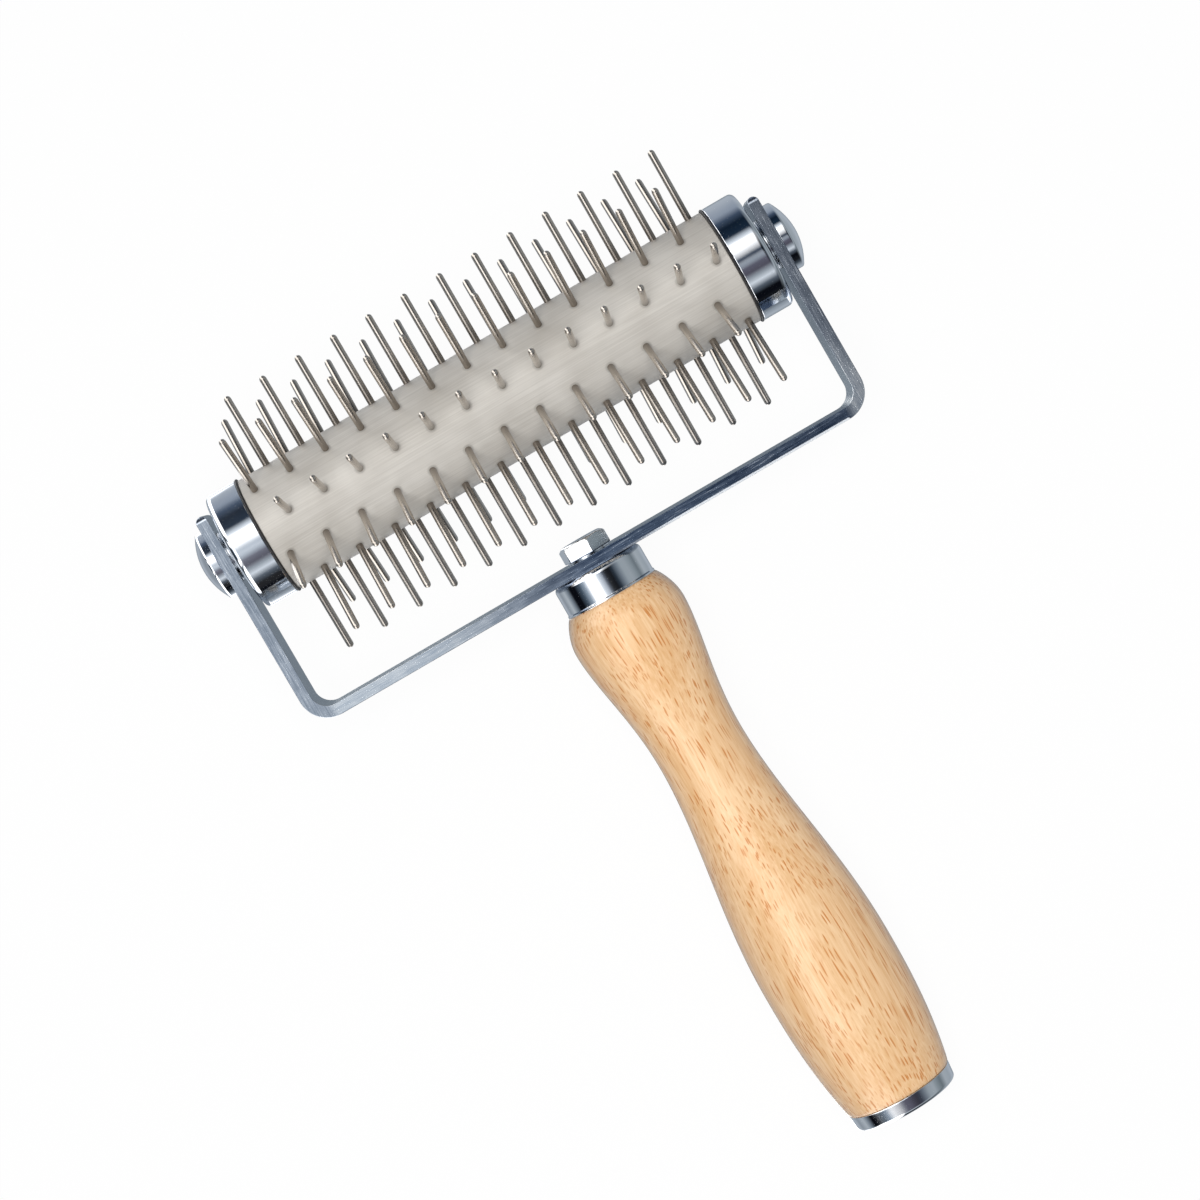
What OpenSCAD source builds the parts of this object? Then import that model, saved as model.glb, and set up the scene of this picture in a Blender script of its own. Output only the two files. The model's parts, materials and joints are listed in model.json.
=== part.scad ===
// Dough docker: a pin-studded roller turning in a bent steel yoke on a wooden handle.
// It is drawn as it lies on a worktop: the lowest row of pins and the swell of the
// handle both touch the top, and the origin is under the middle of the whole tool.
// X runs along the roller, the handle points towards -Y, and Z is up.

/* [Drum] */
// Diameter of the drum
drum_d = 29; // [27:0.5:34]
// Length of the drum between its two seal rings
drum_len = 125; // [110:1:150]
// Wall of the drum tube
drum_wall = 1.6; // [1.2:0.1:2.4]

/* [Pins] */
// Pins in each row
pins_per_row = 13; // [8:1:15]
// Distance from the end of the drum to the centre of the nearest pin
pin_edge = 3.15; // [2.5:0.05:6]
// Diameter of a pin
pin_d = 1.7; // [1.4:0.1:2.4]
// How far a pin stands out of the drum
pin_reach = 18.5; // [10:0.5:22]
// Turn of the first row from straight up, towards the front
first_row_turn = 10; // [0:1:35]

/* [End caps] */
// Length of a cap outside the drum
cap_len = 8.2; // [6:0.2:12]
// How far a cap stands proud of the drum
cap_lip = 0.35; // [0.1:0.05:0.8]
// Rounding of the outer edge of a cap
cap_round = 1.4; // [0.6:0.1:2]
// Thickness of the end wall of a cap
cap_end = 2; // [1.5:0.1:3]
// Length of the spigot of a cap inside the drum
spigot_len = 6; // [4:0.5:10]
// Wall of that spigot
spigot_wall = 1.6; // [1.2:0.1:2.2]
// Thickness of the seal ring between a cap and the drum
seal_t = 0.6; // [0.4:0.1:1.2]
// How far the seal ring stands proud of the drum
seal_lip = 0.55; // [0.4:0.05:1]

/* [Axle and bushes] */
// Diameter of the axle
axle_d = 6; // [5:0.5:7]
// Outer diameter of a bush
bush_d = 10; // [8.5:0.5:11]
// Length of a bush inside its cap
bush_len = 8; // [5:0.5:10]
// Diameter of the flange of a bush
flange_d = 13; // [12:0.5:14]
// Thickness of that flange
flange_t = 0.5; // [0.3:0.1:1]
// Wall of the cap's hub round a bush
hub_wall = 1.6; // [1.2:0.1:2.2]
// Diameter of the washer inside each arm
washer_d = 12.5; // [11:0.5:15]
// Thickness of that washer
washer_t = 0.5; // [0.4:0.1:1]
// Diameter of the domed head on each end of the axle
head_d = 17; // [13:0.5:18]
// Height of the straight rim of a head
head_rim = 2.2; // [1.8:0.1:3]
// Rise of the dome above that rim
head_rise = 2.5; // [1.5:0.1:4]
// How far the axle enters a head
head_grip = 3; // [2:0.1:3]

/* [Yoke] */
// Thickness of the strap
strap_t = 2.8; // [2:0.1:3.5]
// Width of the strap
strap_w = 18; // [14:0.5:22]
// Inner radius of the two bends
bend_r = 4.3; // [3:0.1:12]
// How far an arm runs past the axle
arm_past = 11.5; // [10:0.5:18]
// Rounding of the corners at the end of an arm
arm_corner = 1.5; // [0.5:0.5:4]
// Gap between the pin tips and the crossbar
crossbar_gap = 8.8; // [7:0.1:16]

/* [Handle bolt] */
// Diameter of the bolt
bolt_d = 6.35; // [5:0.05:7]
// Length of the bolt under its head
bolt_len = 25.4; // [22:0.2:32]
// Hexagon of the head across its flats
hex_flats = 11.1; // [10:0.1:13]
// Height of the hexagon
hex_h = 4.4; // [3.5:0.1:5.5]
// Turn of the hexagon from a flat facing up
hex_turn = 12; // [0:1:59]
// Thickness of the round face under the hexagon
hex_face_t = 0.4; // [0.2:0.1:0.8]
// Outer diameter of the threaded insert in the handle
insert_d = 10; // [8.5:0.5:12]
// Length of that insert
insert_len = 16; // [10:0.5:18]

/* [Ferrule] */
// Diameter of the ferrule
ferrule_d = 22.8; // [20:0.2:25]
// Length of the ferrule
ferrule_len = 8; // [6:0.2:14]
// Wall of the ferrule
ferrule_wall = 1; // [0.7:0.1:1.5]
// Thickness of its closed end
ferrule_end = 1.2; // [0.8:0.1:2]
// Rounding of its front edge
ferrule_round = 1.6; // [0.4:0.1:2]

/* [Handle] */
// How far the neck of the wood stands proud of the ferrule
neck_lip = 0.2; // [0:0.05:0.6]
// Diameter of the bulb behind the ferrule
bulb_d = 29.1; // [26:0.1:32]
// Length from the ferrule to the crest of the bulb
neck_to_bulb = 8.5; // [6:0.5:14]
// Diameter of the waist
waist_d = 21.6; // [18:0.1:25]
// Length from the bulb to the waist
bulb_to_waist = 33; // [24:0.5:45]
// Diameter of the palm swell
swell_d = 33.1; // [29:0.1:36]
// Length from the waist to the crest of the swell
waist_to_swell = 60.3; // [45:0.1:75]
// Diameter of the wood at the butt cap
butt_d = 26.9; // [24:0.1:29]
// Length from the swell to the butt cap
swell_to_butt = 33.6; // [24:0.1:45]

/* [Butt cap] */
// Length of the butt cap
butt_cap_len = 3.9; // [3:0.1:8]
// Narrowing of the cap towards its end, on the diameter
butt_taper = 0.8; // [0:0.1:1.5]
// Rounding of its end edge
butt_round = 0.9; // [0.6:0.1:2]
// Wall of the butt cap
butt_wall = 1.1; // [0.8:0.1:1.6]
// Thickness of its end
butt_end = 1.7; // [1.2:0.1:2]

/* [Clearances] */
// Play round the axle in the bushes, on the radius
axle_play = 0.05; // [0.02:0.01:0.1]
// Play round the axle in the arms and washers, on the radius
arm_play = 0.05; // [0.02:0.01:0.2]
// Play round a pin in its hole, on the radius
pin_play = 0.02; // [0.01:0.01:0.05]
// Gap between the root of a pin and the inside of the drum
pin_root_gap = 0.1; // [0.05:0.05:0.3]
// End float between the flange of a bush and its washer
end_float = 0.2; // [0.1:0.05:0.5]
// Play round the bolt in the crossbar, the ferrule and the wood, on the radius
bolt_play = 0.25; // [0.1:0.05:0.5]
// Free depth of the wood's bore past the end of the bolt
bolt_run_out = 2; // [1:0.5:5]

/* [Hidden] */
ROW_COUNT = 10;
function row_name(i) = str("pin_row_", i < 9 ? "0" : "", i + 1);

ROUND_FN = 96;
PIN_FN = 24;
LEFT = -1;
RIGHT = 1;
// Extra length of a cutter past the face it breaks through
THROUGH = 1;
$fn = ROUND_FN;

drum_r = drum_d / 2;
bore_r = drum_r - drum_wall;
pin_r = pin_d / 2;
tip_r = drum_r + pin_reach;
axle_r = axle_d / 2;
row_step = 360 / ROW_COUNT;
// Neighbouring rows are staggered by half a pitch, so a row fills the drum less half a pitch
pin_pitch = (drum_len - 2 * pin_edge) / (pins_per_row - 0.5);
function row_turn(i) = first_row_turn + i * row_step;
function row_shift(i) = (i % 2 == 0 ? 1 : -1) * pin_pitch / 4;

cap_r = drum_r + cap_lip;
hub_r = bush_d / 2 + hub_wall;
cap_x = drum_len / 2 + seal_t;
flange_x = cap_x + cap_len;
washer_x = flange_x + flange_t + end_float;
arm_x = washer_x + washer_t;
head_x = arm_x + strap_t;

crossbar_y = tip_r + crossbar_gap;
ferrule_y = crossbar_y + strap_t;
grip_y = ferrule_y + ferrule_len;

ferrule_r = ferrule_d / 2;
tenon_r = ferrule_r - ferrule_wall;
tenon_len = ferrule_len - ferrule_end;
neck_r = ferrule_r + neck_lip;
waist_at = neck_to_bulb + bulb_to_waist;
swell_at = waist_at + waist_to_swell;
grip_len = swell_at + swell_to_butt;
butt_y = grip_y + grip_len;
butt_end_y = butt_y + butt_cap_len;
butt_r = butt_d / 2;
butt_end_r = butt_r - butt_taper / 2;
butt_spigot_r = butt_end_r - butt_wall;
butt_spigot_len = butt_cap_len - butt_end;

// Shape of the turned handle: the bulb rises fast, and both long slopes lean
// a little towards their thinner side
BULB_RISE = 0.8;
FALL_SKEW = 0.85;
RISE_SKEW = 0.93;
BUTT_POWER = 2.4;
function ease(from, to, part) = from + (to - from) * (1 - cos(180 * part)) / 2;
function grip_r(t) =
    t < neck_to_bulb ?
        neck_r + (bulb_d / 2 - neck_r) * pow(sin(90 * t / neck_to_bulb), BULB_RISE) :
    t < waist_at ?
        ease(bulb_d / 2, waist_d / 2, pow((t - neck_to_bulb) / bulb_to_waist, FALL_SKEW)) :
    t < swell_at ?
        ease(waist_d / 2, swell_d / 2, pow((t - waist_at) / waist_to_swell, RISE_SKEW)) :
        swell_d / 2 - (swell_d - butt_d) / 2 * pow((t - swell_at) / swell_to_butt, BUTT_POWER);

// How the tool lies: it tips about the roller's axis until the handle meets the worktop
LIE_STEP = 1.5;
LIE_ROUNDS = 40;
LIE_MOST = 30;
function axle_height(a) =
    pin_r + (tip_r - pin_r) * max([for (i = [0 : ROW_COUNT - 1]) -cos(row_turn(i) - a)]);
function grip_depth(a) =
    max([for (t = [0 : LIE_STEP : grip_len]) (grip_y + t) * sin(a) + grip_r(t) * cos(a)]);
function butt_depth(a) =
    (butt_end_y - butt_round) * sin(a) + (butt_end_r - butt_round) * cos(a) + butt_round;
function lie_search(low, high, rounds) =
    let (mid = (low + high) / 2)
    rounds == 0 ? mid :
    max(grip_depth(mid), butt_depth(mid)) > axle_height(mid) ?
        lie_search(low, mid, rounds - 1) :
        lie_search(mid, high, rounds - 1);
lie_angle = lie_search(0, LIE_MOST, LIE_ROUNDS);
axle_z = axle_height(lie_angle);
front_reach = pin_r
    + (tip_r - pin_r) * max([for (i = [0 : ROW_COUNT - 1]) sin(row_turn(i) - lie_angle)]);
back_reach = (butt_end_y - butt_round) * cos(lie_angle)
    + (butt_end_r - butt_round) * sin(lie_angle) + butt_round;
axle_y = (back_reach - front_reach) / 2;

// Places its children, drawn about the roller's axis, as the tool lies
module laid() {
    translate([0, axle_y, axle_z]) rotate([lie_angle, 0, 0]) children();
}

// Places its children on the roller's axis, x out to one side, with their Z pointing outwards
module on_axle(side, x) {
    laid() translate([side * x, 0, 0]) rotate([0, side * 90, 0]) children();
}

// Places its children on the handle's axis, y behind the roller, with their Z pointing back
module on_handle(y) {
    laid() translate([0, -y, 0]) rotate([90, 0, 0]) children();
}

// Half section of a disc whose far outer edge is rounded
module disc_section(r, h, edge) {
    square([r, h - edge]);
    square([r - edge, h]);
    translate([r - edge, h - edge]) circle(edge);
}

// Flat ring standing on its own plane
module ring(outer_r, inner_r, h) {
    difference() {
        cylinder(r = outer_r, h = h);
        translate([0, 0, -THROUGH]) cylinder(r = inner_r, h = h + 2 * THROUGH);
    }
}

// Outline of one face of the strap seen from above: straight arms and two round bends
module u_outline(half_w, bottom, top, r) {
    translate([-half_w, bottom + r]) square([2 * half_w, top - bottom - r]);
    translate([r - half_w, bottom]) square([2 * (half_w - r), 2 * r]);
    for (side = [LEFT, RIGHT])
        translate([side * (half_w - r), bottom + r]) circle(r);
}

// Outline of the strap seen from the side, with rounded corners at the arm's end
module arm_outline() {
    low = -strap_w / 2;
    translate([-ferrule_y, low]) square([ferrule_y + arm_past - arm_corner, strap_w]);
    translate([0, low + arm_corner]) square([arm_past, strap_w - 2 * arm_corner]);
    for (z = [low + arm_corner, -low - arm_corner])
        translate([arm_past - arm_corner, z]) circle(arm_corner);
}

module yoke_strap() {
    color("slategray")
    laid()
    difference() {
        intersection() {
            translate([0, 0, -strap_w / 2])
            linear_extrude(strap_w)
            difference() {
                u_outline(head_x, -ferrule_y, arm_past, bend_r + strap_t);
                u_outline(arm_x, -crossbar_y, arm_past + THROUGH, bend_r);
            }
            rotate([90, 0, 90]) translate([0, 0, -head_x]) linear_extrude(2 * head_x) arm_outline();
        }
        rotate([0, 90, 0])
            cylinder(r = axle_r + arm_play, h = 2 * (head_x + THROUGH), center = true);
        translate([0, -crossbar_y + THROUGH, 0]) rotate([90, 0, 0])
            cylinder(r = bolt_d / 2 + bolt_play, h = strap_t + 2 * THROUGH);
    }
}

module axle_rod() {
    color("silver")
    on_axle(RIGHT, 0)
    cylinder(r = axle_r, h = 2 * (head_x + head_grip), center = true);
}

// Low spherical dome on a straight rim, with a blind bore for the axle
module dome_head(side) {
    head_r = head_d / 2;
    dome_r = (head_r * head_r + head_rise * head_rise) / (2 * head_rise);
    head_h = head_rim + head_rise;
    color("gainsboro")
    on_axle(side, head_x)
    difference() {
        intersection() {
            cylinder(r = head_r, h = head_h);
            translate([0, 0, head_h - dome_r]) sphere(dome_r);
        }
        translate([0, 0, -THROUGH]) cylinder(r = axle_r, h = head_grip + THROUGH);
    }
}

module arm_washer(side) {
    color("silver")
    on_axle(side, washer_x)
    ring(washer_d / 2, axle_r + arm_play, washer_t);
}

// Hexagon with its top edge chamfered, a round face under it, and a plain shank
module handle_bolt() {
    chamfer_angle = 30;
    top_r = 0.48 * hex_flats;
    head_h = hex_h + hex_face_t;
    color("lightsteelblue")
    on_handle(crossbar_y) {
        translate([0, 0, -head_h])
        intersection() {
            rotate([0, 0, hex_turn])
                cylinder(d = hex_flats / cos(30), h = hex_h, $fn = 6);
            cylinder(r1 = top_r, r2 = top_r + hex_h / tan(chamfer_angle), h = hex_h);
        }
        translate([0, 0, -hex_face_t]) cylinder(r = top_r, h = hex_face_t);
        cylinder(d = bolt_d, h = bolt_len);
    }
}

module threaded_insert() {
    color("goldenrod")
    on_handle(ferrule_y + ferrule_end)
    ring(insert_d / 2, bolt_d / 2, insert_len);
}

// Cup over the tenon of the wood, its closed end flat against the crossbar
module front_ferrule() {
    color("gainsboro")
    on_handle(grip_y)
    mirror([0, 0, 1])
    rotate_extrude()
    difference() {
        disc_section(ferrule_r, ferrule_len, ferrule_round);
        translate([0, -THROUGH]) square([tenon_r, tenon_len + THROUGH]);
        translate([0, -THROUGH]) square([bolt_d / 2 + bolt_play, ferrule_len + 2 * THROUGH]);
    }
}

// Turned wood with a tenon for the ferrule and a spigot for the butt cap
module handle_grip() {
    bulb_steps = 10;
    slope_steps = 16;
    butt_steps = 12;
    bolt_bore = bolt_len - strap_t - ferrule_len + bolt_run_out;
    color("burlywood")
    on_handle(grip_y)
    rotate_extrude()
    difference() {
        polygon(concat(
            [[0, -tenon_len], [tenon_r, -tenon_len], [tenon_r, 0]],
            [for (i = [0 : bulb_steps - 1]) let (t = neck_to_bulb * i / bulb_steps)
                [grip_r(t), t]],
            [for (i = [0 : slope_steps - 1]) let (t = neck_to_bulb + bulb_to_waist * i / slope_steps)
                [grip_r(t), t]],
            [for (i = [0 : slope_steps - 1]) let (t = waist_at + waist_to_swell * i / slope_steps)
                [grip_r(t), t]],
            [for (i = [0 : butt_steps]) let (t = swell_at + swell_to_butt * i / butt_steps)
                [grip_r(t), t]],
            [[butt_spigot_r, grip_len], [butt_spigot_r, grip_len + butt_spigot_len],
                [0, grip_len + butt_spigot_len]]));
        translate([0, -tenon_len - THROUGH]) square([insert_d / 2, insert_len + THROUGH]);
        translate([0, -tenon_len - THROUGH])
            square([bolt_d / 2 + bolt_play, tenon_len + THROUGH + bolt_bore]);
    }
}

// Shallow cup over the spigot of the wood, with a flat end
module butt_cap() {
    color("gainsboro")
    on_handle(butt_y)
    rotate_extrude()
    difference() {
        union() {
            polygon([[0, 0], [butt_r, 0], [butt_end_r, butt_cap_len - butt_round],
                [0, butt_cap_len - butt_round]]);
            disc_section(butt_end_r, butt_cap_len, butt_round);
        }
        translate([0, -THROUGH]) square([butt_spigot_r, butt_spigot_len + THROUGH]);
    }
}

// Puts its children at every pin of one row, with their Z pointing outwards
module at_pins(i) {
    for (j = [0 : pins_per_row - 1])
        translate([(j - (pins_per_row - 1) / 2) * pin_pitch + row_shift(i), 0, 0])
            rotate([-row_turn(i), 0, 0]) children();
}

module drum_tube() {
    color("lightgray")
    laid()
    difference() {
        rotate([0, 90, 0]) cylinder(r = drum_r, h = drum_len, center = true);
        rotate([0, 90, 0]) cylinder(r = bore_r, h = drum_len + 2 * THROUGH, center = true);
        for (i = [0 : ROW_COUNT - 1])
            at_pins(i)
            translate([0, 0, bore_r - THROUGH])
            cylinder(r = pin_r + pin_play, h = drum_wall + 2 * THROUGH, $fn = PIN_FN);
    }
}

// One row of straight pins with round tips, each seated in its own hole
module pin_row(i) {
    root_r = bore_r + pin_root_gap;
    color("silver")
    laid()
    at_pins(i) {
        translate([0, 0, root_r]) cylinder(r = pin_r, h = tip_r - pin_r - root_r, $fn = PIN_FN);
        translate([0, 0, tip_r - pin_r]) sphere(pin_r, $fn = PIN_FN);
    }
}

// Hollow cap: end wall, rounded rim, spigot in the drum and a hub for the bush
module end_cap(side) {
    color("gainsboro")
    on_axle(side, cap_x)
    rotate_extrude()
    difference() {
        union() {
            difference() {
                union() {
                    disc_section(cap_r, cap_len, cap_round);
                    translate([0, -spigot_len - seal_t]) square([bore_r, spigot_len + 2 * seal_t]);
                }
                translate([0, -spigot_len - seal_t - THROUGH])
                    square([bore_r - spigot_wall, spigot_len + seal_t + THROUGH + cap_len - cap_end]);
            }
            translate([0, cap_len - bush_len]) square([hub_r, bush_len]);
        }
        translate([0, -spigot_len - THROUGH - bush_len])
            square([bush_d / 2, spigot_len + 2 * THROUGH + bush_len + cap_len]);
    }
}

// Flat ring on the spigot, its outer edge fully round
module seal_ring(side) {
    width = drum_r + seal_lip - bore_r;
    color("dimgray")
    on_axle(side, drum_len / 2)
    rotate_extrude()
    translate([bore_r, 0]) {
        square([width - seal_t / 2, seal_t]);
        translate([width - seal_t / 2, seal_t / 2]) circle(seal_t / 2);
    }
}

module bush(side) {
    color("whitesmoke")
    on_axle(side, flange_x)
    rotate_extrude()
    translate([axle_r + axle_play, 0]) {
        translate([0, -bush_len])
            square([bush_d / 2 - axle_r - axle_play, bush_len + flange_t]);
        square([flange_d / 2 - axle_r - axle_play, flange_t]);
    }
}

yoke_strap();
axle_rod();
dome_head(LEFT);  // left_dome_head
dome_head(RIGHT);  // right_dome_head
arm_washer(LEFT);  // left_washer
arm_washer(RIGHT);  // right_washer
handle_bolt();
threaded_insert();
front_ferrule();
handle_grip();
butt_cap();
drum_tube();
end_cap(LEFT);  // left_end_cap
end_cap(RIGHT);  // right_end_cap
seal_ring(LEFT);  // left_seal_ring
seal_ring(RIGHT);  // right_seal_ring
bush(LEFT);  // left_bush
bush(RIGHT);  // right_bush
for (i = [0 : ROW_COUNT - 1])
    pin_row(i);
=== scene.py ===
# %% [markdown]
# # Dressing a dough docker
# The tool is a steel drum full of pins that spins in a bent strap yoke on a turned
# beech handle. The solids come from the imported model, and this script gives them
# their looks. It is read from top to bottom: a few words on the real piece, then
# a short cell that makes it.

# %% Load the solids
import json
import math
import bpy
from mathutils import Matrix, Vector


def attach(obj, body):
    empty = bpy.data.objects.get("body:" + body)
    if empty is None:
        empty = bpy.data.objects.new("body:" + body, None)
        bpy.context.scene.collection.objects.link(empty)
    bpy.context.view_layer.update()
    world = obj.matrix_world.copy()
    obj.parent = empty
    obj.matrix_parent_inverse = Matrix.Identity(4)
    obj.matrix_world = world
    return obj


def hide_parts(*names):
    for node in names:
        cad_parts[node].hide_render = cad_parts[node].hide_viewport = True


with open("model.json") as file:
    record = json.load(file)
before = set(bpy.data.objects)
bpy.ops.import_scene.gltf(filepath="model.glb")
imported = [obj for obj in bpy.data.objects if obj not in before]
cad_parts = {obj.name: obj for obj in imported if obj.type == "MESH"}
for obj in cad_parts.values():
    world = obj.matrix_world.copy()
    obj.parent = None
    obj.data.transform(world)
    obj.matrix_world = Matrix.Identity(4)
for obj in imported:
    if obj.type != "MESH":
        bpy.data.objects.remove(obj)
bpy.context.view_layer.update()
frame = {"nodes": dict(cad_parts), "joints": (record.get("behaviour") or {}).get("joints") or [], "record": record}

# %% [markdown]
# The tool lies on the worktop, so its handle slopes a little. Everything on it is
# easier to think of in its own frame: X runs along the roller, -Y down the handle,
# +Z out of the flat side of the yoke, and the middle of the axle is the origin.
# Each piece is therefore modelled there in millimetres and laid down as its last
# step. The turn comes from the record, so it is the same one as in the solids.

# %% The tool's own frame
MM = 0.001
butt_axis = frame["record"]["mounts"][0]["axis"]
lie = math.asin(-butt_axis[2])
axle = Vector(frame["joints"][0]["pos_m"])
LAID = Matrix.Translation(axle) @ Matrix.Rotation(lie, 4, "X")
print("lies at", round(math.degrees(lie), 3), "degrees, axle at", tuple(axle))

# %% [markdown]
# Nearly every piece of such a tool is turned on a lathe. Blender's lathe is the
# spin operator: half of the section is drawn as a chain of edges, one point
# extruded after another, and swept once around the axis. A corner that carries a
# radius is first drawn as an arc, because no real edge is sharp and the small
# rounds are what catches the light. A short straight piece is kept on each side of
# an arc so that the smooth shading of the round doesn't bleed into the flat.

# %% Start, round and turn
def clear_selection():
    if bpy.context.mode != "OBJECT":
        bpy.ops.object.mode_set(mode="OBJECT")
    bpy.ops.object.select_all(action="DESELECT")


def rounded(points, steps=6):
    """A chain of (along, out) points; a third number rounds that corner."""
    chain = []
    for i, point in enumerate(points):
        here = Vector(point[:2])
        if len(point) == 2:
            chain.append(here)
            continue
        radius = point[2]
        back = (Vector(points[i - 1][:2]) - here).normalized()
        ahead = (Vector(points[i + 1][:2]) - here).normalized()
        half = back.angle(ahead) / 2
        run = radius / math.tan(half)
        middle = here + (back + ahead).normalized() * radius / math.sin(half)
        spoke_in, spoke_out = here + back * run - middle, here + ahead * run - middle
        turn = spoke_in.angle(spoke_out)
        chain.append(here + back * (run + radius * 0.12))
        for k in range(steps + 1):
            t = k / steps
            chain.append(middle + (spoke_in * math.sin((1 - t) * turn)
                                   + spoke_out * math.sin(t * turn)) / math.sin(turn))
        chain.append(here + ahead * (run + radius * 0.12))
    return chain


def turned(name, points, along="X", around=96):
    """Sweeps the section once around the tool's X or Y axis."""
    clear_selection()
    chain = [Vector((p[0], p[1], 0)) if along == "X" else Vector((p[1], p[0], 0))
             for p in points]
    bpy.ops.mesh.primitive_plane_add(size=MM, location=(0, 0, 0))
    piece = bpy.context.object
    piece.name = name
    bpy.ops.object.mode_set(mode="EDIT")
    bpy.ops.mesh.merge(type="CENTER")
    bpy.ops.transform.translate(value=chain[0] * MM)
    for before, after in zip(chain, chain[1:]):
        bpy.ops.mesh.extrude_region_move(
            TRANSFORM_OT_translate={"value": (after - before) * MM})
    bpy.ops.mesh.select_all(action="SELECT")
    axis = (1, 0, 0) if along == "X" else (0, 1, 0)
    bpy.ops.mesh.spin(steps=around, angle=math.tau, center=(0, 0, 0), axis=axis)
    bpy.ops.mesh.select_all(action="SELECT")
    bpy.ops.mesh.remove_doubles(threshold=0.002 * MM)
    bpy.ops.mesh.normals_make_consistent(inside=False)
    bpy.ops.object.mode_set(mode="OBJECT")
    return piece


print("points that round one corner:", len(rounded([(0, 0), (0, 1, 0.2), (1, 1)])) - 2)

# %% [markdown]
# A finished piece is laid down with the tool, and its place is applied to its mesh. It is parented to the body
# that carries it, the solids that it stands for are hidden, and its finish slot is kept for later. Faces that meet
# at less than the sharp angle are shaded as one round. A piece with large flat faces keeps them flat in the
# shading, whatever the small rounds beside them do.

# %% Lay a piece down
made = []


def lay(piece, body, solids, slot, sharp=32, flats=False):
    clear_selection()
    piece.select_set(True)
    bpy.context.view_layer.objects.active = piece
    bpy.ops.object.shade_smooth_by_angle(angle=math.radians(sharp))
    if flats:
        even = piece.modifiers.new("flat faces", "WEIGHTED_NORMAL")
        even.weight = 100
        bpy.ops.object.modifier_apply(modifier=even.name)
    piece.matrix_world = LAID @ piece.matrix_world
    bpy.ops.object.transform_apply(location=True, rotation=True, scale=True)
    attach(piece, body)
    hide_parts(*solids)
    made.append((piece, slot))
    print(piece.name, "faces:", len(piece.data.polygons))
    return piece


# %% [markdown]
# ## The roller
# The drum is a tube, satin all over, with a broken edge at each end. It is one
# hollow section swept around the axle.

# %% Drum
DRUM_R, DRUM_END, BORE_R = 14.5, 62.5, 12.9
drum = turned("drum_skin", rounded([
    (-DRUM_END, BORE_R), (-DRUM_END, DRUM_R, 0.2), (DRUM_END, DRUM_R, 0.2),
    (DRUM_END, BORE_R), (-DRUM_END, BORE_R)], 3), "X", 160)
lay(drum, "roller", ["drum_tube"], "drum_steel")

# %% [markdown]
# The chrome caps plug the ends of the drum. Each is a cup with a hub for its bush.
# The outer corner has a generous round, which draws the bright line that runs
# around the end of the roller, and the inner lip is barely broken. A thin dark ring
# is squeezed between cap and drum. Both ends are alike, so one section is written
# and turned twice, the second time with its signs changed.

# %% End caps, seal rings and bushes
CAP_IN, CAP_OUT, CAP_R = 63.1, 71.3, 14.85
PLUG_IN, PLUG_R, CUP_OUT, CUP_R = 56.5, 12.9, 69.3, 11.3
HUB_IN, HUB_R, BUSH_R, BUSH_HOLE = 63.3, 6.6, 5.0, 3.05
FLANGE_OUT, FLANGE_R, SEAL_R, SEAL_HOLE = 71.8, 6.5, 15.05, 12.95
for side, word in ((-1, "left"), (1, "right")):
    cap = turned(word + "_chrome_cap", rounded([
        (side * PLUG_IN, CUP_R), (side * PLUG_IN, PLUG_R), (side * CAP_IN, PLUG_R),
        (side * CAP_IN, CAP_R, 0.25), (side * CAP_OUT, CAP_R, 1.4),
        (side * CAP_OUT, BUSH_R), (side * HUB_IN, BUSH_R), (side * HUB_IN, HUB_R),
        (side * CUP_OUT, HUB_R), (side * CUP_OUT, CUP_R), (side * PLUG_IN, CUP_R)], 8),
        "X", 144)
    lay(cap, "roller", [word + "_end_cap"], "chrome_plate")
    seal = turned(word + "_seal", rounded([
        (side * DRUM_END, SEAL_HOLE), (side * DRUM_END, SEAL_R, 0.28),
        (side * CAP_IN, SEAL_R, 0.28), (side * CAP_IN, SEAL_HOLE),
        (side * DRUM_END, SEAL_HOLE)], 4), "X", 128)
    lay(seal, "roller", [word + "_seal_ring"], "seal_rubber")
    bush = turned(word + "_plain_bush", rounded([
        (side * HUB_IN, BUSH_HOLE), (side * HUB_IN, BUSH_R), (side * CAP_OUT, BUSH_R),
        (side * CAP_OUT, FLANGE_R, 0.1), (side * FLANGE_OUT, FLANGE_R, 0.15),
        (side * FLANGE_OUT, BUSH_HOLE), (side * HUB_IN, BUSH_HOLE)], 3), "X", 64)
    lay(bush, "roller", [word + "_bush"], "bush_plastic")

# %% [markdown]
# A hundred and thirty pins would be a heavy object if each were fine, so the one
# that is modelled has only twelve sides and a tip of three rings: at this size it
# still looks round. It is turned standing on the handle's axis, pushed to the first
# place of its row, repeated along the roller by an Array modifier, and the row is
# then swung around the axle. Ten rows stand 36 degrees apart, and every other row
# is shifted by half a pitch.

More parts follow.
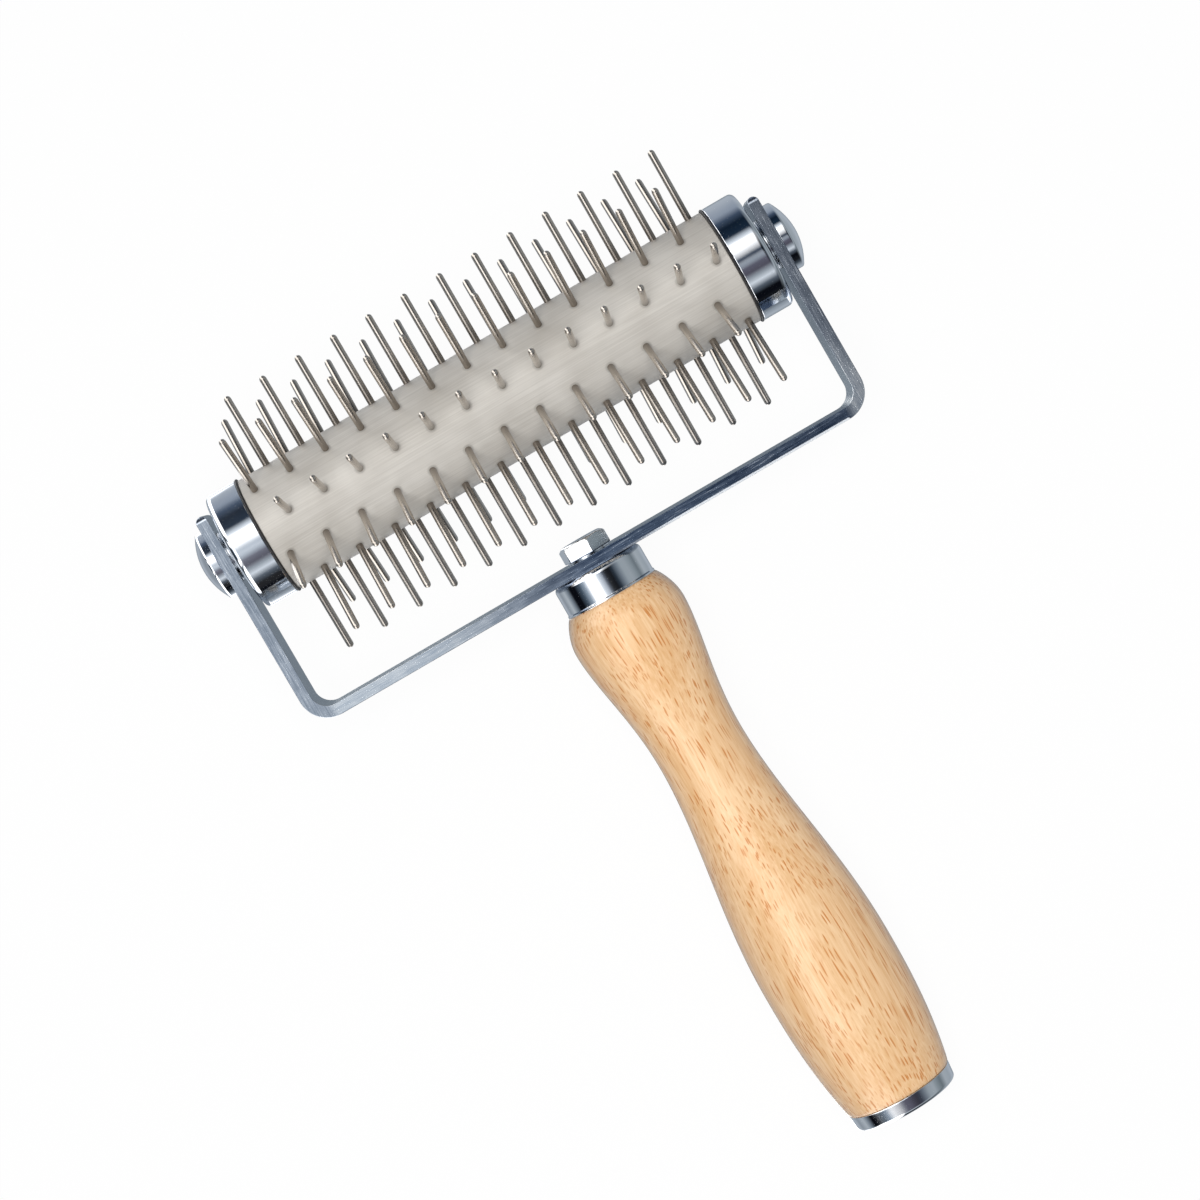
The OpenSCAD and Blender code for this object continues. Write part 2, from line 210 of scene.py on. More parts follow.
# %% Pins
PIN_R, PIN_ROOT, PIN_TIP = 0.85, 13.4, 33.0
PINS, PITCH, ROW_TURN, FIRST_TURN = 13, 9.496, 36, 10
tip = [(PIN_TIP - PIN_R * (1 - math.sin(math.radians(a))),
        PIN_R * math.cos(math.radians(a))) for a in (0, 30, 58, 80)]
pin = turned("pin", [(PIN_ROOT, 0), (PIN_ROOT, PIN_R)] + tip + [(PIN_TIP, 0)], "Y", 12)
for i in range(360 // ROW_TURN):
    clear_selection()
    row = pin.copy()
    row.data = pin.data.copy()
    row.name = f"pins_{i + 1:02d}"
    bpy.context.scene.collection.objects.link(row)
    row.select_set(True)
    bpy.context.view_layer.objects.active = row
    line = row.modifiers.new("row", "ARRAY")
    line.count = PINS
    line.use_relative_offset = False
    line.use_constant_offset = True
    line.constant_offset_displace = (PITCH * MM, 0, 0)
    bpy.ops.object.modifier_apply(modifier=line.name)
    shift = PITCH / 4 if i % 2 == 0 else -PITCH / 4
    swing = math.radians(90 - FIRST_TURN - ROW_TURN * i)
    row.matrix_world = (Matrix.Rotation(swing, 4, "X")
                        @ Matrix.Translation(((shift - (PINS - 1) / 2 * PITCH) * MM, 0, 0)))
    lay(row, "roller", [f"pin_row_{i + 1:02d}"], "pin_steel")
clear_selection()
pin.select_set(True)
bpy.ops.object.delete()

# %% [markdown]
# ## The yoke
# One strap is bent twice the easy way. The hand does the same here: a face the size
# of the strap's section is pulled down the first arm, spun through a quarter turn
# around the bend, pulled across, spun and pulled again. The corners at the ends of
# the arms are then rounded, and a Bevel modifier breaks every long edge, which
# gives the thin light lines along the strap.

# %% Strap
STRAP_T, STRAP_W, ARM_IN, BAR_IN, BEND_R, ARM_END = 2.8, 18.0, 72.5, -41.8, 4.3, 11.5
clear_selection()
bpy.ops.mesh.primitive_plane_add(size=1, location=(
    (ARM_IN + STRAP_T / 2) * MM, ARM_END * MM, 0), rotation=(math.radians(-90), 0, 0))
strap = bpy.context.object
strap.name = "bent_strap"
strap.scale = (STRAP_T * MM, STRAP_W * MM, 1)
bpy.ops.object.transform_apply(location=True, rotation=True, scale=True)
bpy.ops.object.mode_set(mode="EDIT")
bend_x, bend_y = ARM_IN - BEND_R, BAR_IN + BEND_R
arm = (bend_y - ARM_END) * MM
bpy.ops.mesh.extrude_region_move(TRANSFORM_OT_translate={"value": (0, arm, 0)})
bpy.ops.mesh.spin(steps=12, angle=math.radians(90), axis=(0, 0, 1),
                  center=(bend_x * MM, bend_y * MM, 0))
bpy.ops.mesh.extrude_region_move(TRANSFORM_OT_translate={"value": (-2 * bend_x * MM, 0, 0)})
bpy.ops.mesh.spin(steps=12, angle=math.radians(90), axis=(0, 0, 1),
                  center=(-bend_x * MM, bend_y * MM, 0))
bpy.ops.mesh.extrude_region_move(TRANSFORM_OT_translate={"value": (0, -arm, 0)})
bpy.ops.mesh.select_all(action="SELECT")
bpy.ops.mesh.remove_doubles(threshold=0.002 * MM)
bpy.ops.mesh.normals_make_consistent(inside=False)
bpy.ops.mesh.select_all(action="DESELECT")
bpy.ops.object.mode_set(mode="OBJECT")
for edge in strap.data.edges:
    ends = [strap.data.vertices[v].co / MM for v in edge.vertices]
    edge.select = all(abs(p.y - ARM_END) < 0.01 for p in ends) and (
        abs(ends[0].z - ends[1].z) < 0.01)
bpy.ops.object.mode_set(mode="EDIT")
bpy.ops.mesh.bevel(offset=1.5 * MM, segments=5)
bpy.ops.object.mode_set(mode="OBJECT")
soft = strap.modifiers.new("broken edges", "BEVEL")
soft.width = 0.14 * MM
soft.segments = 3
soft.limit_method = "ANGLE"
soft.angle_limit = math.radians(40)
bpy.ops.object.modifier_apply(modifier=soft.name)
lay(strap, "frame", ["yoke_strap"], "strap_steel", flats=True)

# %% [markdown]
# The heads that close the axle are low domes on a short straight rim. A washer
# sits under each arm, seen only as a dark line.

# %% Domed heads and washers
HEAD_IN, HEAD_R, HEAD_RIM, HEAD_RISE = 75.3, 8.5, 2.2, 2.5
WASHER_IN, WASHER_R, WASHER_HOLE = 72.0, 6.25, 3.1
dome_r = (HEAD_R ** 2 + HEAD_RISE ** 2) / (2 * HEAD_RISE)
RINGS = 14
rise = [dome_r * math.cos(math.asin(HEAD_R * t / RINGS / dome_r)) - dome_r + HEAD_RISE
        for t in range(RINGS + 1)]
for side, word in ((-1, "left"), (1, "right")):
    dome = [(side * (HEAD_IN + HEAD_RIM + rise[t]), HEAD_R * t / RINGS)
            for t in range(RINGS - 1)]
    shoulder = HEAD_IN + HEAD_RIM + 0.06
    head = turned(word + "_domed_head", dome + rounded([
        dome[-1], (side * shoulder, HEAD_R, 0.75), (side * HEAD_IN, HEAD_R, 0.2),
        (side * HEAD_IN, 3.0)], 8)[1:] + [
            (side * (HEAD_IN + 3), 3.0), (side * (HEAD_IN + 3), 0)], "X", 96)
    lay(head, "frame", [word + "_dome_head"], "chrome_plate")
    washer = turned(word + "_thin_washer", rounded([
        (side * WASHER_IN, WASHER_HOLE), (side * WASHER_IN, WASHER_R, 0.1),
        (side * ARM_IN, WASHER_R, 0.1), (side * ARM_IN, WASHER_HOLE),
        (side * WASHER_IN, WASHER_HOLE)], 3), "X", 64)
    lay(washer, "frame", [word + "_washer"], "zinc_steel")

# %% [markdown]
# The bolt has a plain hexagon head. A hexagonal prism is planed at its vertical
# edges, and the corners of its top are cut by the cone that a real head gets on the
# lathe: that cone leaves the curved line on each flat. Here the head is kept only
# where it overlaps the cone, with a Boolean modifier. A round seat and the shank
# are turned in one piece and joined to it.

# %% Hexagon bolt
FLATS, HEX_H, HEX_FOOT, HEX_TURN = 11.1, 4.4, 0.4, 12
SEAT_R, SHANK_R, SHANK_LONG = 5.3, 3.175, 25.4
clear_selection()
bpy.ops.mesh.primitive_cylinder_add(
    vertices=6, radius=FLATS / 2 / math.cos(math.radians(30)) * MM,
    depth=(HEX_H - HEX_FOOT) * MM, location=(0, (BAR_IN + (HEX_H + HEX_FOOT) / 2) * MM, 0),
    rotation=(math.radians(-90), math.radians(HEX_TURN), 0))
bolt = bpy.context.object
bolt.name = "hex_bolt"
bpy.ops.object.transform_apply(location=True, rotation=True, scale=True)
plane_off = bolt.modifiers.new("broken edges", "BEVEL")
plane_off.width = 0.28 * MM
plane_off.segments = 3
plane_off.limit_method = "ANGLE"
plane_off.angle_limit = math.radians(40)
bpy.ops.object.modifier_apply(modifier=plane_off.name)
top = BAR_IN + HEX_H
cone = turned("cone", rounded([
    (BAR_IN - 1, 0), (BAR_IN - 1, 9.0), (top - 2.0, 8.0), (top, 4.9, 0.9),
    (top, 0)], 4), "Y", 96)
clear_selection()
bolt.select_set(True)
bpy.context.view_layer.objects.active = bolt
chamfer = bolt.modifiers.new("chamfer", "BOOLEAN")
chamfer.operation = "INTERSECT"
chamfer.object = cone
chamfer.solver = "EXACT"
bpy.ops.object.modifier_apply(modifier=chamfer.name)
shank = turned("shank", rounded([
    (BAR_IN + HEX_FOOT + 0.01, 0), (BAR_IN + HEX_FOOT + 0.01, SEAT_R, 0.05),
    (BAR_IN, SEAT_R, 0.05), (BAR_IN, SHANK_R), (BAR_IN - SHANK_LONG, SHANK_R, 0.4),
    (BAR_IN - SHANK_LONG, 0)], 3), "Y", 48)
clear_selection()
cone.select_set(True)
bpy.ops.object.delete()
shank.select_set(True)
bolt.select_set(True)
bpy.context.view_layer.objects.active = bolt
bpy.ops.object.join()
lay(bolt, "frame", ["handle_bolt"], "zinc_steel", sharp=24, flats=True)

# %% [markdown]
# ## The handle
# A chrome ferrule holds the front of the wood. Its front rim is rolled over and its
# back edge is broken.

# %% Ferrule and butt cap
FERRULE_Y, GRIP_Y, BUTT_Y = -44.6, -52.6, -188.0
ferrule = turned("chrome_ferrule", rounded([
    (FERRULE_Y, 3.4), (FERRULE_Y, 11.4, 1.6), (GRIP_Y + 0.75, 11.4, 0.2),
    (GRIP_Y + 0.45, 11.62, 0.15), (GRIP_Y, 11.62, 0.2), (GRIP_Y, 10.4),
    (FERRULE_Y - 1.2, 10.4), (FERRULE_Y - 1.2, 3.4), (FERRULE_Y, 3.4)], 8), "Y", 128)
lay(ferrule, "frame", ["front_ferrule"], "chrome_plate")
cap = turned("chrome_butt_cap", rounded([
    (BUTT_Y, 12.35), (BUTT_Y, 13.42, 0.25), (BUTT_Y - 3.9, 13.05, 0.9),
    (BUTT_Y - 3.9, 0)], 8)
    + [(BUTT_Y - 2.2, 0), (BUTT_Y - 2.2, 12.35), (BUTT_Y, 12.35)], "Y", 128)
lay(cap, "frame", ["butt_cap"], "chrome_plate")

# %% [markdown]
# The grip is one long turned curve: a bulb behind the ferrule, a waist for the
# finger and thumb, a palm swell and a gentle fall to the butt. The curve is made of
# cosine eases between those widths, a point every millimetre or so. Inside the
# ferrule and the butt cap the wood steps down to a tenon.

# %% Grip
BULB_T, WAIST_T, SWELL_T, END_T = 8.5, 41.5, 101.8, 135.4
FRONT_R, BULB_R, WAIST_R, SWELL_R = 11.6, 14.55, 10.8, 16.55


def ease(a, b, t):
    return a + (b - a) * (1 - math.cos(math.pi * t)) / 2


def grip_radius(t):
    """Radius of the grip at t millimetres behind the ferrule."""
    if t < BULB_T:
        return FRONT_R + 2.95 * math.sin(math.radians(90 * t / BULB_T)) ** 0.8
    if t < WAIST_T:
        return ease(BULB_R, WAIST_R, ((t - BULB_T) / 33) ** 0.85)
    if t < SWELL_T:
        return ease(WAIST_R, SWELL_R, ((t - WAIST_T) / 60.3) ** 0.93)
    return SWELL_R - 3.1 * ((t - SWELL_T) / 33.6) ** 2.4


steps = [0, 0.25, 0.6, 1.05, 1.6, 2.3, 3.1, 4.0, 5.0, 6.1, 7.3]
steps += [BULB_T + k * (END_T - BULB_T) / 108 for k in range(109)]
outline = [(GRIP_Y - t, grip_radius(t)) for t in steps]
front = [(GRIP_Y + 6.7, 0), (GRIP_Y + 6.7, 10.3), (GRIP_Y, 10.3)]
back = [(BUTT_Y + 0.3, outline[-1][1]), (BUTT_Y + 0.08, 13.2), (BUTT_Y, 12.9),
        (BUTT_Y, 12.3), (BUTT_Y - 2.1, 12.3), (BUTT_Y - 2.1, 0)]
grip = turned("turned_grip", front + outline[:-1] + back, "Y", 128)
lay(grip, "frame", ["handle_grip"], "beech", sharp=50)
print("radii:", [round(grip_radius(t), 2) for t in (0, BULB_T, WAIST_T, SWELL_T, END_T)])

# %% [markdown]
# ## Finishes
# A finish is worked out as arithmetic on values that change over the surface. The
# small class below lets that be written as plain expressions: each sum or product
# places a Math node, and one method, add, places any other node with its settings
# first and its sockets after. Colours are typed as they are picked from a picture,
# 0 to 255, and turned into the linear values that a shader works with.

# %% Shader arithmetic
class Wire:
    """One value on its way through a shader."""

    def __init__(self, tree, socket=None):
        self.tree, self.socket = tree, socket

    def add(self, kind, settings=None, sockets=None, out=0):
        node = self.tree.nodes.new("ShaderNode" + kind)
        for name, value in (settings or {}).items():
            if name == "stops":
                ramp = node.color_ramp
                ramp.elements.remove(ramp.elements[1])
                ramp.elements[0].position, ramp.elements[0].color = value[0]
                for place, colour in value[1:]:
                    ramp.elements.new(place).color = colour
            else:
                setattr(node, name, value)
        for name, value in (sockets or {}).items():
            if isinstance(value, Wire):
                self.tree.links.new(value.socket, node.inputs[name])
            else:
                node.inputs[name].default_value = value
        return Wire(self.tree, node.outputs[out] if node.outputs else None)

    def math(self, operation, *values):
        return self.add("Math", {"operation": operation}, dict(enumerate(values)))

    def vector(self, operation, *values):
        return self.add("VectorMath", {"operation": operation}, dict(enumerate(values)))

    def __add__(self, other):
        return self.math("ADD", self, other)

    def __sub__(self, other):
        return self.math("SUBTRACT", self, other)

    def __rsub__(self, other):
        return self.math("SUBTRACT", other, self)

    def __mul__(self, other):
        return self.math("MULTIPLY", self, other)

    def __truediv__(self, other):
        return self.math("DIVIDE", self, other)

    __radd__, __rmul__ = __add__, __mul__

    def between(self, low, high):
        """0 at low and 1 at high, with a soft start and end."""
        return self.add("MapRange", {"interpolation_type": "SMOOTHSTEP"}, {
            "Value": self, "From Min": low, "From Max": high})

    def parts(self):
        return [self.add("SeparateXYZ", None, {0: self}, k) for k in range(3)]

    def stretched(self, x, y, z):
        return self.vector("MULTIPLY", self, (x, y, z))

    def noise(self, detail=2.0, roughness=0.5, out=0):
        return self.add("TexNoise", None, {
            "Vector": self, "Scale": 1.0, "Detail": detail, "Roughness": roughness}, out)

    def mix(self, first, second):
        """first where this value is 0, second where it is 1."""
        return self.add("Mix", {"data_type": "RGBA"}, {0: self, 6: first, 7: second}, 2)


def ink(red, green, blue):
    def linear(v):
        v /= 255
        return v / 12.92 if v <= 0.04045 else ((v + 0.055) / 1.055) ** 2.4
    return (linear(red), linear(green), linear(blue), 1)


print("mid grey is", round(ink(128, 128, 128)[0], 3), "in linear values")

# %% [markdown]
# Every finish starts from the same place: Object coordinates, turned back into the
# tool's own frame and counted in millimetres, so that brushing and grain run along
# the pieces and a number in a finish is a size on the tool.

# %% A new finish
finishes = {}


def start_finish(slot):
    finish = finishes[slot] = bpy.data.materials.new("fine_" + slot)
    finish.use_nodes = True
    finish.node_tree.nodes.clear()
    wire = Wire(finish.node_tree)
    back = LAID.inverted()
    place = wire.add("Mapping", None, {
        "Vector": wire.add("TexCoord", None, None, "Object"),
        "Location": tuple(back.translation / MM), "Rotation": (-lie, 0, 0),
        "Scale": (1 / MM, 1 / MM, 1 / MM)})
    return wire, place


def end_finish(wire, sockets, height=None):
    """Closes a finish; height, a small relief, is in millimetres."""
    if height is not None:
        sockets["Normal"] = wire.add("Bump", None, {
            "Strength": 1.0, "Distance": MM, "Height": height})
    surface = wire.add("BsdfPrincipled", None, sockets)
    wire.add("OutputMaterial", None, {"Surface": surface})
    print(list(finishes)[-1], "nodes:", len(wire.tree.nodes))


# %% [markdown]
# Chrome plate is a near mirror, so it mostly shows the studio. What makes it look
# like plate on a worked part is the fine haze of polishing and wiping, a slow
# waviness that bends long reflections, and a few hair scratches.

# %% Chrome plate
wire, place = start_finish("chrome_plate")
haze = place.stretched(0.25, 0.25, 0.25).noise(3.0)
specks = place.stretched(2.2, 2.2, 2.2).noise(2.0).between(0.64, 0.72)
wave = place.stretched(0.16, 0.16, 0.16).noise(1.0)
end_finish(wire, {
    "Base Color": haze.mix(ink(232, 235, 240), ink(244, 246, 249)),
    "Metallic": 1.0, "Roughness": 0.05 + haze * 0.05 + specks * 0.06},
    wave * 0.02 + specks * 0.0006)

# %% [markdown]
# Drum and pins both need to know where the nearest pin is. The field repeats every
# 36 degrees around the axle and every pitch along it, so the nearest row and the
# nearest pin in it come from rounding. The result is the distance from that pin
# along the roller, the distance beside it, and the distance from the axle.

# %% Where the pins are
def pin_field(wire, place):
    across, down, out = place.parts()
    turns = wire.math("ARCTAN2", down, out) / math.radians(ROW_TURN) - FIRST_TURN / ROW_TURN
    row = wire.math("ROUND", turns)
    from_axle = wire.math("SQRT", down * down + out * out)
    steps = across / PITCH - wire.math("COSINE", row * math.pi) * 0.25
    along = (steps - wire.math("ROUND", steps)) * PITCH
    return along, (turns - row) * math.radians(ROW_TURN) * from_axle, from_axle


print("pins in the field:", PINS * 360 // ROW_TURN)

# %% [markdown]
# The drum is satin: very fine brushing along its length, and a soft sheen that is never a mirror. It gets a broad
# gloss, faint streaks and slow blotches, and where each pin enters, the wall dips a little and a dark ring of
# painted contact shade is laid around it.

# %% Drum steel
wire, place = start_finish("drum_steel")
streak = place.stretched(0.05, 3.2, 3.2).noise(3.0, 0.6)
blotch = place.stretched(0.07, 0.07, 0.07).noise(2.0)
tone = streak * 0.45 + blotch * 0.55
along, beside, from_axle = pin_field(wire, place)
from_pin = wire.math("SQRT", along * along + beside * beside)
worn = tone.between(0.25, 0.75).mix(ink(180, 175, 167), ink(210, 206, 199))
end_finish(wire, {
    # Painted contact shade: the colour darkens in a small ring close around each pin's foot.
    "Base Color": (from_pin.between(1.6, 0.9) * 0.4).mix(worn, ink(112, 106, 98)),
    "Metallic": 0.18, "Roughness": 0.38 + streak * 0.12},
    streak * 0.012 - from_pin.between(3.2, 0.8) * 0.07)

# %% [markdown]
# The pins are polished wire with a slight warm cast and fine drawing lines along them. Their colour is darkened
# towards the root by painted shade, where they stand close to the drum. The lines of a pin run away from the axle,
# so the distance from the axle is what they are stretched along.

# %% Pin steel
wire, place = start_finish("pin_steel")
along, beside, from_axle = pin_field(wire, place)
grain = wire.add("CombineXYZ", None, {
    0: place.parts()[0] * 3.0, 1: beside * 3.0, 2: from_axle * 0.1}).noise(2.0)
polished = grain.mix(ink(176, 168, 158), ink(204, 196, 187))
end_finish(wire, {
    # Painted shade: the colour darkens towards the root of each pin.
    "Base Color": (from_axle.between(24, 15) * 0.6).mix(polished, ink(98, 88, 78)),
    "Metallic": 0.9, "Roughness": 0.16 + grain * 0.06})

# %% [markdown]
# The strap is ground steel with a thin bluish plating. Fine lines and a few whitish scratches follow its length:
# along X on the crossbar and along Y on the arms, changing over at the bends. Its reflections are painted into the
# colour as light and shade: a pale lit tone at the left bend, a navy painted shade along the right half of the
# crossbar, the arms in between, and painted shade on the outer face. A painted highlight runs along the outer
# corner of the right half of the crossbar.

# %% Strap steel
wire, place = start_finish("strap_steel")
across, down, out = place.parts()
away = across.math("ABSOLUTE", across)
on_arm = away.between(68, 71)
bar_lines = place.stretched(0.14, 3.4, 3.4).noise(3.0, 0.65)
arm_lines = place.stretched(3.4, 0.14, 3.4).noise(3.0, 0.65)
lines = bar_lines + (arm_lines - bar_lines) * on_arm
mottle = place.stretched(0.33, 0.33, 0.33).noise(4.0, 0.6)
from_inside = (BAR_IN - down) + (away - ARM_IN - (BAR_IN - down)) * on_arm
# Painted highlight: a near-white line along the outer corner of the right half of the crossbar.
edge = from_inside.between(2.15, 2.4) * out.between(8.5, 8.8) * (1 - on_arm)
edge = edge * across.between(0, 25)
scratch = lines.between(0.60, 0.70)
tone = (mottle * 0.3 + lines * 0.7).between(0.36, 0.66)
# Painted light and shade: 0 gives the lit tone and 1 the shaded tone, from the left of the crossbar to the right,
# along the arms, and darker on the outer face.
painted_shade = across.between(-48, 4)
arm_painted_shade = 0.52 + across.between(-10, 10) * (down.between(-38, -22) * 0.6 - 0.52)
painted_shade = painted_shade + (arm_painted_shade - painted_shade) * on_arm
painted_shade = painted_shade + (0.85 - painted_shade) * from_inside.between(2.66, 2.76)
dull = 0.09 + across.between(30, 68) * 0.07 + mottle * 0.05
dull = dull + scratch * 0.1 + edge * 0.2
# The lit and the shaded copies of the plating colour.
bright = tone.mix(ink(208, 216, 224), ink(254, 255, 255))
dark = tone.mix(ink(66, 82, 106), ink(132, 147, 168))
# The whitish scratches and the painted edge highlight share one near-white colour; the highlight is made less
# metallic so that it stays white whatever it reflects.
end_finish(wire, {
    "Base Color": (scratch * 0.4 + edge * 0.9).mix(
        painted_shade.mix(bright, dark), ink(238, 242, 246)),
    "Metallic": 0.96 - edge * 0.5, "Roughness": dull}, lines * 0.002)

# %% [markdown]
# Bolt and washers are bright zinc. The axle and the insert are hidden or nearly so,
# and get the plain finish of their metal with a little variation, like the rubber
# and the plastic after them.

# %% Plain metals
for name, dark, light, rough in (
        ("zinc_steel", ink(226, 229, 232), ink(244, 246, 248), 0.09),
        ("plain_steel", ink(150, 152, 154), ink(178, 180, 182), 0.32),
        ("insert_brass", ink(186, 150, 86), ink(208, 172, 104), 0.3)):
    wire, place = start_finish(name)
    cloud = place.stretched(0.6, 0.6, 0.6).noise(4.0)
    end_finish(wire, {
        "Base Color": cloud.mix(dark, light), "Metallic": 1.0,
        "Roughness": rough + cloud * 0.06})

# %% Rubber and plastic
for name, dark, light, rough in (
        ("seal_rubber", ink(22, 21, 22), ink(40, 38, 38), 0.42),
        ("bush_plastic", ink(30, 31, 33), ink(44, 45, 47), 0.5)):
    wire, place = start_finish(name)
    cloud = place.stretched(1.5, 1.5, 1.5).noise(3.0)
    end_finish(wire, {
        "Base Color": cloud.mix(dark, light), "Roughness": rough + cloud * 0.1},
        cloud * 0.008)

# %% [markdown]
# Beech is known by its flecks: short orange-brown dashes that follow the grain,
# each the cut end of a ray. A ray is a small flat spindle inside the wood, so the
# flecks are made in the solid: cells much longer along the grain than across, and a
# fleck near the middle of each. Where the turned surface slopes they then come out
# short, and where it runs with the grain they come out long, as on the real handle.
# Under them lie slow growth rings and a fine fibre, and over them a clear lacquer.

# %% Beech
wire, place = start_finish("beech")
sway = place.stretched(0.05, 0.022, 0.05).noise(2.0, 0.5, 1)
bent = place.vector("ADD", place, sway.vector("MULTIPLY", sway, (5.0, 0.0, 5.0)))
flecks = bent.add("TexVoronoi", None, {
    "Vector": bent.stretched(1.6, 0.1, 1.6), "Scale": 1.0}, "Distance")
fleck = flecks.between(0.38, 0.24)
strength = bent.stretched(0.3, 0.1, 0.3).noise(1.0).between(0.3, 0.62)
pores = bent.add("TexVoronoi", None, {
    "Vector": bent.stretched(1.3, 0.3, 1.3), "Scale": 1.0}, "Distance").between(0.24, 0.1)
fibre = bent.stretched(1.7, 0.022, 1.7).noise(4.0, 0.65)
across, down, out = bent.parts()
from_pith = wire.math("SQRT", across * across + (out + 30) * (out + 30))
ring = wire.add("CombineXYZ", None, {0: from_pith * 0.42, 1: down * 0.006}).noise(2.0)
tone = ring * 0.35 + fibre * 0.65
wood = tone.between(0.28, 0.72).mix(ink(222, 172, 116), ink(246, 210, 166))
wood = (pores * 0.3).mix(wood, ink(210, 154, 96))
end_finish(wire, {
    "Base Color": (fleck * (strength * 0.6 + 0.35)).mix(wood, ink(202, 130, 60)),
    "Roughness": 0.4 + fibre * 0.12, "Coat Weight": 1.0, "Coat Roughness": 0.2},
    fibre * 0.01 - fleck * 0.015)

# %% [markdown]
# Each piece now gets the finish of its slot, and the solids that stay, the axle and
# the insert, get theirs too.

# %% Hand out the finishes
for piece, slot in made:
    piece.data.materials.clear()
    piece.data.materials.append(finishes[slot])
for name, slot in (("axle_rod", "plain_steel"), ("threaded_insert", "insert_brass")):
    frame["nodes"][name].data.materials.clear()
    frame["nodes"][name].data.materials.append(finishes[slot])
print("finishes:", sorted(finishes))

# %% [markdown]
# ## The studio
# A real metal part is photographed with a soft box above and dark cards beside it,
# because chrome has no colour of its own: the light and dark bands on it are the
# studio. The world plays the studio here. Seen by the camera it is plain white. Seen
# in a reflection it is a soft box overhead with dark and grey cards around it, set
# out by their angle from straight up, one list for the directions across the roller
# and one for those across the handle. One more long white card stands on the left
# and draws the light streak down each pin; it leaves out the directions that the
# butt cap reflects. The lightest parts shine more than a white page does, as lamps
# do. For the soft light that falls on the wood, the world is an even grey.

# %% World
world = bpy.data.worlds.new("studio")
bpy.context.scene.world = world
world.use_nodes = True
world.node_tree.nodes.clear()
wire = Wire(world.node_tree)


def cards(angle, bands):
    """Bands are (degrees from straight up, colour)."""
    return wire.add("ValToRGB", {"stops": [(0.5 + d / 360, c) for d, c in bands]},
                    {0: angle / math.tau + 0.5})


FLOOR_GREY, NAVY, BLACK = ink(176, 184, 193), ink(26, 42, 60), ink(10, 12, 18)
WHITE, NADIR = ink(255, 255, 255), ink(126, 136, 145)
direction = wire.add("Mapping", {"vector_type": "VECTOR"}, {
    "Vector": wire.add("TexCoord", None, None, "Generated"), "Rotation": (-lie, 0, 0)})
x, y, z = direction.parts()
over_roller = cards(wire.math("ARCTAN2", y, z), [
    (-172, NADIR), (-150, FLOOR_GREY), (-131, ink(148, 157, 166)), (-112, ink(60, 68, 77)),
    (-98, BLACK), (-72, BLACK), (-60, ink(86, 95, 106)), (-48, ink(216, 223, 230)),
    (-39, ink(160, 168, 176)), (-29, ink(84, 82, 94)), (-18, ink(98, 97, 111)),
    (-9, ink(180, 189, 199)), (-1, ink(236, 240, 245)), (6, WHITE), (30, WHITE),
    (38, ink(208, 216, 224)), (47, NAVY), (68, ink(18, 31, 46)), (84, ink(66, 80, 100)),
    (100, ink(144, 154, 168)), (131, ink(168, 176, 186)), (150, FLOOR_GREY), (172, NADIR)])
over_handle = cards(wire.math("ARCTAN2", x, z), [
    (-172, NADIR), (-150, FLOOR_GREY), (-133, ink(142, 150, 158)), (-114, ink(176, 184, 190)),
    (-101, ink(120, 130, 140)), (-90, BLACK), (-74, BLACK), (-60, ink(70, 84, 98)),
    (-48, ink(152, 166, 180)), (-40, ink(236, 240, 244)), (-34, WHITE), (-16, WHITE),
    (-9, ink(220, 226, 232)), (-4, ink(194, 203, 213)), (0, ink(124, 136, 152)),
    (4, ink(62, 72, 88)), (11, BLACK), (23, BLACK), (31, ink(42, 52, 63)),
    (42, ink(112, 122, 132)), (54, ink(154, 163, 169)), (66, ink(156, 164, 170)),
    (80, ink(138, 148, 154)), (93, ink(110, 120, 126)), (110, ink(166, 174, 180)),
    (130, ink(156, 165, 172)), (150, FLOOR_GREY), (172, NADIR)])
near = x * x + 0.002
sideways = near / (near + y * y * 0.6)
lean = x / wire.math("SQRT", z + 1.02)
reach = y.math("ABSOLUTE", y)
card = lean.between(-0.14, -0.24) * lean.between(-0.9, -0.72) * reach.between(0.12, 0.24)
card = card * (1 - reach.between(0.31, 0.34) * reach.between(0.48, 0.43))
studio = sideways.mix(over_roller, over_handle)
seen = wire.add("LightPath", None, None, "Is Camera Ray")
glossy = wire.add("LightPath", None, None, "Is Glossy Ray")
green = studio.parts()[1]
box = green.math("POWER", green, 10.0) * 1.8
box = box + (1.5 - box) * card
light = seen.mix(glossy.mix((0.34, 0.34, 0.345, 1), card.mix(studio, WHITE)), WHITE)
wire.add("OutputWorld", None, {"Surface": wire.add("Background", None, {
    "Color": light, "Strength": 1 + glossy * box})})
world.cycles.sampling_method = "NONE"
print("world nodes:", len(world.node_tree.nodes))

# %% [markdown]
# One broad lamp above and to the left shapes the wood and the satin drum. It is
# hidden from reflections, where the world already shows its soft box.

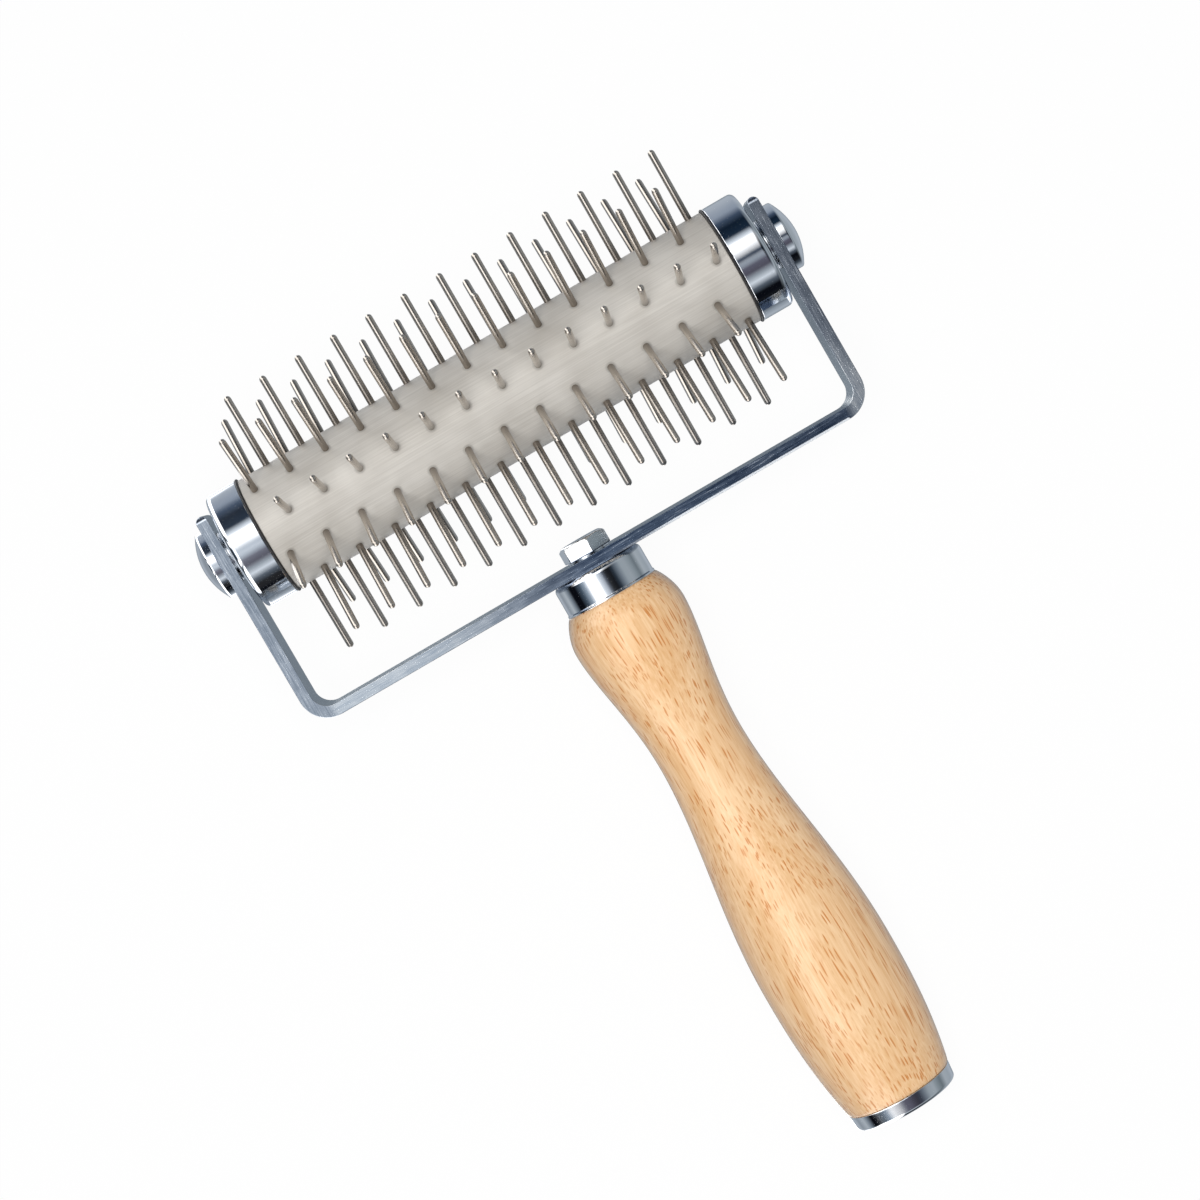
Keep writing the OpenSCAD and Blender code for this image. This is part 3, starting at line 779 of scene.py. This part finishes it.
# %% Lamp
clear_selection()
bpy.ops.object.light_add(type="AREA", location=(-0.06, -0.02, 0.86))
lamp = bpy.context.object
lamp.name = "soft_box"
lamp.data.shape = "SQUARE"
lamp.data.size = 0.4
lamp.data.energy = 6.1
lamp.rotation_euler = (Vector((0, 0, 0)) - lamp.location).to_track_quat("-Z", "Y").to_euler()
lamp.visible_glossy = False
print("lamp:", round(lamp.data.energy, 2), "W, above the worktop by", round(lamp.location.z, 2))

# %% [markdown]
# The floor is pale and plain. To the camera it is mostly a white page, and the rest
# is an ordinary matt surface, which keeps the tool's soft shadow.

# %% Floor
clear_selection()
bpy.ops.mesh.primitive_plane_add(size=6, location=(0, 0, -0.05 * MM))
floor = bpy.context.object
floor.name = "floor"
floor.visible_glossy = False
page = bpy.data.materials.new("page")
page.use_nodes = True
page.node_tree.nodes.clear()
wire = Wire(page.node_tree)
seen = wire.add("LightPath", None, None, "Is Camera Ray")
matt = wire.add("BsdfDiffuse", None, {"Color": (0.82, 0.82, 0.82, 1)})
white = wire.add("Emission", None, {"Color": WHITE, "Strength": 1.0})
wire.add("OutputMaterial", None, {"Surface": wire.add("MixShader", None, {
    0: seen * 0.95, 1: matt, 2: white})})
floor.data.materials.append(page)
print("floor:", tuple(round(v, 2) for v in floor.dimensions), "m")

# %% [markdown]
# The camera stands where the photographer stood: nearly over the tool, a little
# towards the roller, with the picture turned so that the roller climbs to the right.

# %% Camera
target = Vector((-3.1, -52.3, 0)) * MM
toward = Vector((math.tan(math.radians(0.42)), math.tan(math.radians(2.9)), 1)).normalized()
up = Vector((0.5015, 0.8652, 0))
side = up.cross(toward).normalized()
turn = Matrix((side, toward.cross(side), toward)).transposed().to_4x4()
bpy.ops.object.camera_add()
camera = bpy.context.object
camera.matrix_world = LAID @ Matrix.Translation(target + toward * 850 * MM) @ turn
camera.data.lens = 108.5
camera.data.sensor_width = 36
camera.data.clip_start = 0.01
bpy.context.scene.camera = camera
bpy.context.scene.view_settings.view_transform = "Standard"
print("camera:", [round(v, 3) for v in camera.matrix_world.translation], "m")

# %% The end
bpy.context.view_layer.update()
